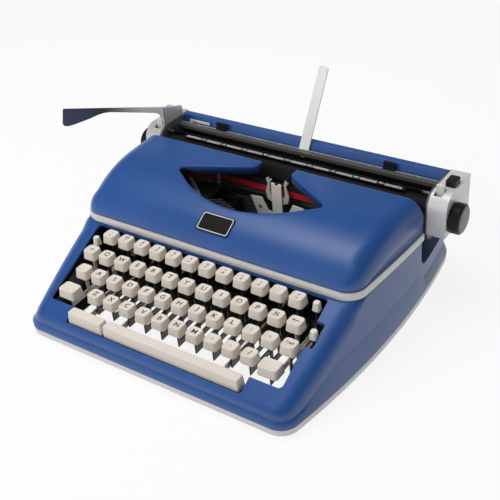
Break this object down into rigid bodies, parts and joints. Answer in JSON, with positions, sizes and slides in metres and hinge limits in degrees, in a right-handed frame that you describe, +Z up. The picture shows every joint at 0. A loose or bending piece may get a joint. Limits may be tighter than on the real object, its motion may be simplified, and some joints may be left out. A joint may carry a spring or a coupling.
{
  "type": "manual typewriter",
  "caption": "Portable manual typewriter with a hinged ribbon cover, sprung keys on levers, a shifting type basket and a sliding carriage with platen, bail and return lever.",
  "frame": {"origin": "middle of the overall box in plan, on the table plane under the rubber feet", "axes": "+X to the typist's right along the platen, +Y from the typist towards the rear, +Z up"},
  "size_m": [0.4352, 0.302, 0.1884],
  "materials": {
    "blue_paint": "smooth enamel, satin gloss",
    "silver_trim": "satin silver",
    "steel": "bright steel",
    "dark_steel": "dark enamel",
    "chrome": "polished",
    "key_plastic": "moulded, slightly glossy",
    "white_plastic": "moulded",
    "black_rubber": "smooth black rubber",
    "black_plastic": "moulded",
    "badge_metal": "black enamel with a pale border",
    "cream_metal": "cream enamel",
    "ribbon_fabric": "inked woven ribbon",
    "brass": "bright brass",
    "pale_plastic": "pale, matt",
    "grey_paint": "grey enamel"
  },
  "bodies": {
    "chassis": {"bottom_pan": "silver_trim", "rubber_feet": "black_rubber", "body_shell": "blue_paint", "trim_band": "silver_trim", "left_side_frame": "dark_steel", "right_side_frame": "dark_steel", "cross_braces": "steel", "bed_rails": "steel", "cover_hinge_pins": "steel", "key_shaft": "steel", "key_comb": "steel", "type_guide": "cream_metal", "spool_plates": "grey_paint", "ribbon": "ribbon_fabric"},
    "cover": {"ribbon_cover": "blue_paint", "badge_plate": "badge_metal"},
    "number_row": {"number_row_keys": "key_plastic", "number_row_levers": "dark_steel"},
    "top_row": {"top_row_keys": "key_plastic", "top_row_levers": "dark_steel"},
    "home_row": {"home_row_keys": "key_plastic", "home_row_levers": "dark_steel"},
    "bottom_row": {"bottom_row_keys": "key_plastic", "bottom_row_levers": "dark_steel"},
    "margin_release": {"margin_release_key": "key_plastic"},
    "backspace": {"backspace_key": "key_plastic"},
    "shift_lock": {"shift_lock_key": "key_plastic"},
    "tab": {"tab_key": "key_plastic"},
    "shift": {"shift_keys": "key_plastic"},
    "space": {"space_bar": "key_plastic"},
    "repeat": {"repeat_bar": "key_plastic"},
    "selector": {"ribbon_selector": "white_plastic"},
    "touch": {"touch_lever": "white_plastic"},
    "reverse": {"ribbon_reverse_lever": "white_plastic"},
    "basket": {"segment": "steel", "typebars": "steel"},
    "vibrator": {"ribbon_vibrator": "steel"},
    "left_spool_body": {"left_spool": "black_plastic"},
    "right_spool_body": {"right_spool": "black_plastic"},
    "carriage": {"carriage_frame": "grey_paint", "escapement_rack": "steel", "left_end_cover": "silver_trim", "right_end_cover": "silver_trim", "paper_table": "blue_paint", "margin_rail": "dark_steel", "paper_pan": "grey_paint"},
    "platen_roll": {"platen": "black_rubber", "platen_core": "steel", "platen_knobs": "black_plastic"},
    "feed_roll": {"feed_roller": "black_rubber"},
    "bail": {"paper_bail": "chrome"},
    "support": {"paper_support": "pale_plastic"},
    "return": {"return_lever": "chrome"},
    "releases": {"carriage_releases": "white_plastic"},
    "paper_catch": {"paper_release": "black_plastic"},
    "left_stop": {"left_margin_stop": "black_plastic"},
    "guide_slider": {"paper_guide": "steel"},
    "right_stop": {"right_margin_stop": "black_plastic"},
    "pinion": {"escapement_pinion": "brass"},
    "drum": {"mainspring_drum": "steel"}
  },
  "joints": [
    {"name": "cover_hinge", "type": "hinge", "parent": "chassis", "child": "cover", "pos_m": [0.02717, 0.061, 0.103], "axis": [-1, 0, 0], "range_deg": [0, 75]},
    {"name": "number_row_press", "type": "hinge", "parent": "chassis", "child": "number_row", "pos_m": [0.02717, 0.049, 0.025], "axis": [1, 0, 0], "range_deg": [0, 4.28], "stiffness_Nm_per_rad": 1, "springref_deg": -14.32},
    {"name": "top_row_press", "type": "hinge", "parent": "chassis", "child": "top_row", "pos_m": [0.02717, 0.049, 0.025], "axis": [1, 0, 0], "range_deg": [0, 3.62], "stiffness_Nm_per_rad": 1, "springref_deg": -14.32},
    {"name": "home_row_press", "type": "hinge", "parent": "chassis", "child": "home_row", "pos_m": [0.02717, 0.049, 0.025], "axis": [1, 0, 0], "range_deg": [0, 3.16], "stiffness_Nm_per_rad": 1, "springref_deg": -14.32},
    {"name": "bottom_row_press", "type": "hinge", "parent": "chassis", "child": "bottom_row", "pos_m": [0.02717, 0.049, 0.025], "axis": [1, 0, 0], "range_deg": [0, 2.81], "stiffness_Nm_per_rad": 1, "springref_deg": -14.32},
    {"name": "margin_release_press", "type": "hinge", "parent": "chassis", "child": "margin_release", "pos_m": [0.02717, 0.049, 0.025], "axis": [1, 0, 0], "range_deg": [0, 3.62], "stiffness_Nm_per_rad": 0.12, "springref_deg": -14.32},
    {"name": "backspace_press", "type": "hinge", "parent": "chassis", "child": "backspace", "pos_m": [0.02717, 0.049, 0.025], "axis": [1, 0, 0], "range_deg": [0, 3.62], "stiffness_Nm_per_rad": 0.12, "springref_deg": -14.32},
    {"name": "shift_lock_press", "type": "hinge", "parent": "chassis", "child": "shift_lock", "pos_m": [0.02717, 0.049, 0.025], "axis": [1, 0, 0], "range_deg": [0, 3.16], "stiffness_Nm_per_rad": 0.12, "springref_deg": -14.32},
    {"name": "tab_press", "type": "hinge", "parent": "chassis", "child": "tab", "pos_m": [0.02717, 0.049, 0.025], "axis": [1, 0, 0], "range_deg": [0, 3.16], "stiffness_Nm_per_rad": 0.12, "springref_deg": -14.32},
    {"name": "shift_press", "type": "hinge", "parent": "chassis", "child": "shift", "pos_m": [0.02717, 0.049, 0.025], "axis": [1, 0, 0], "range_deg": [0, 2.78], "stiffness_Nm_per_rad": 2.5, "springref_deg": -22.92},
    {"name": "space_press", "type": "hinge", "parent": "chassis", "child": "space", "pos_m": [0.02717, 0.049, 0.025], "axis": [1, 0, 0], "range_deg": [0, 1.87], "stiffness_Nm_per_rad": 0.7, "springref_deg": -14.32},
    {"name": "repeat_press", "type": "hinge", "parent": "chassis", "child": "repeat", "pos_m": [0.02717, 0.049, 0.025], "axis": [1, 0, 0], "range_deg": [0, 1.87], "stiffness_Nm_per_rad": 0.35, "springref_deg": -14.32},
    {"name": "selector_turn", "type": "hinge", "parent": "chassis", "child": "selector", "pos_m": [0.02717, -0.0786, 0.028], "axis": [1, 0, 0], "range_deg": [-13, 13]},
    {"name": "touch_turn", "type": "hinge", "parent": "chassis", "child": "touch", "pos_m": [0.02717, -0.0635, 0.028], "axis": [1, 0, 0], "range_deg": [-5, 5]},
    {"name": "reverse_turn", "type": "hinge", "parent": "chassis", "child": "reverse", "pos_m": [0.02717, -0.0564, 0.028], "axis": [1, 0, 0], "range_deg": [-6, 6]},
    {"name": "basket_shift", "type": "slide", "parent": "chassis", "child": "basket", "axis": [0, 0, -1], "range_m": [0, 0.0065]},
    {"name": "vibrator_lift", "type": "slide", "parent": "chassis", "child": "vibrator", "axis": [0, 0, 1], "range_m": [0, 0.007]},
    {"name": "left_spool_spin", "type": "hinge", "parent": "chassis", "child": "left_spool_body", "pos_m": [-0.07983, 0.027, 0.074], "axis": [0, 0, 1], "continuous": true},
    {"name": "right_spool_spin", "type": "hinge", "parent": "chassis", "child": "right_spool_body", "pos_m": [0.15017, 0.027, 0.074], "axis": [0, 0, 1], "continuous": true},
    {"name": "carriage_travel", "type": "slide", "parent": "chassis", "child": "carriage", "axis": [-1, 0, 0], "range_m": [-0.12, 0.12]},
    {"name": "platen_turn", "type": "hinge", "parent": "carriage", "child": "platen_roll", "pos_m": [0.02717, 0.086, 0.0896], "axis": [1, 0, 0], "continuous": true},
    {"name": "feed_roller_turn", "type": "hinge", "parent": "carriage", "child": "feed_roll", "pos_m": [0.02717, 0.10193, 0.07623], "axis": [1, 0, 0], "continuous": true},
    {"name": "bail_lift", "type": "hinge", "parent": "carriage", "child": "bail", "pos_m": [0.02717, 0.0985, 0.1095], "axis": [-1, 0, 0], "range_deg": [0, 18]},
    {"name": "support_swing", "type": "hinge", "parent": "carriage", "child": "support", "pos_m": [0.03647, 0.11235, 0.104], "axis": [0, -0.9563, 0.2924], "range_deg": [-50, 30]},
    {"name": "return_swing", "type": "hinge", "parent": "carriage", "child": "return", "pos_m": [-0.12663, 0.105, 0.1146], "axis": [0, 0, 1], "range_deg": [0, 28], "stiffness_Nm_per_rad": 0.08},
    {"name": "release_press", "type": "hinge", "parent": "carriage", "child": "releases", "pos_m": [0.02717, 0.084, 0.106], "axis": [1, 0, 0], "range_deg": [-10, 10], "stiffness_Nm_per_rad": 0.05},
    {"name": "paper_release_slide", "type": "slide", "parent": "carriage", "child": "paper_catch", "axis": [0, 1, 0], "range_m": [0, 0.008]},
    {"name": "left_stop_slide", "type": "slide", "parent": "carriage", "child": "left_stop", "axis": [1, 0, 0], "range_m": [-0.01, 0.06]},
    {"name": "guide_slide", "type": "slide", "parent": "carriage", "child": "guide_slider", "axis": [1, 0, 0], "range_m": [-0.008, 0]},
    {"name": "right_stop_slide", "type": "slide", "parent": "carriage", "child": "right_stop", "axis": [1, 0, 0], "range_m": [-0.06, 0.03]},
    {"name": "pinion_turn", "type": "hinge", "parent": "chassis", "child": "pinion", "pos_m": [0.03517, 0.119, 0.057], "axis": [0, -1, 0], "continuous": true},
    {"name": "drum_turn", "type": "hinge", "parent": "chassis", "child": "drum", "pos_m": [-0.07283, 0.109, 0.043], "axis": [0, -1, 0], "continuous": true}
  ],
  "couplings": [
    {"joint": "basket_shift", "follows": "shift_press", "m_per_rad": 0.13406},
    {"joint": "right_spool_spin", "follows": "left_spool_spin", "ratio": 1},
    {"joint": "feed_roller_turn", "follows": "platen_turn", "ratio": -3.5556},
    {"joint": "pinion_turn", "follows": "carriage_travel", "rad_per_m": 142.86},
    {"joint": "drum_turn", "follows": "carriage_travel", "rad_per_m": 66.667}
  ]
}
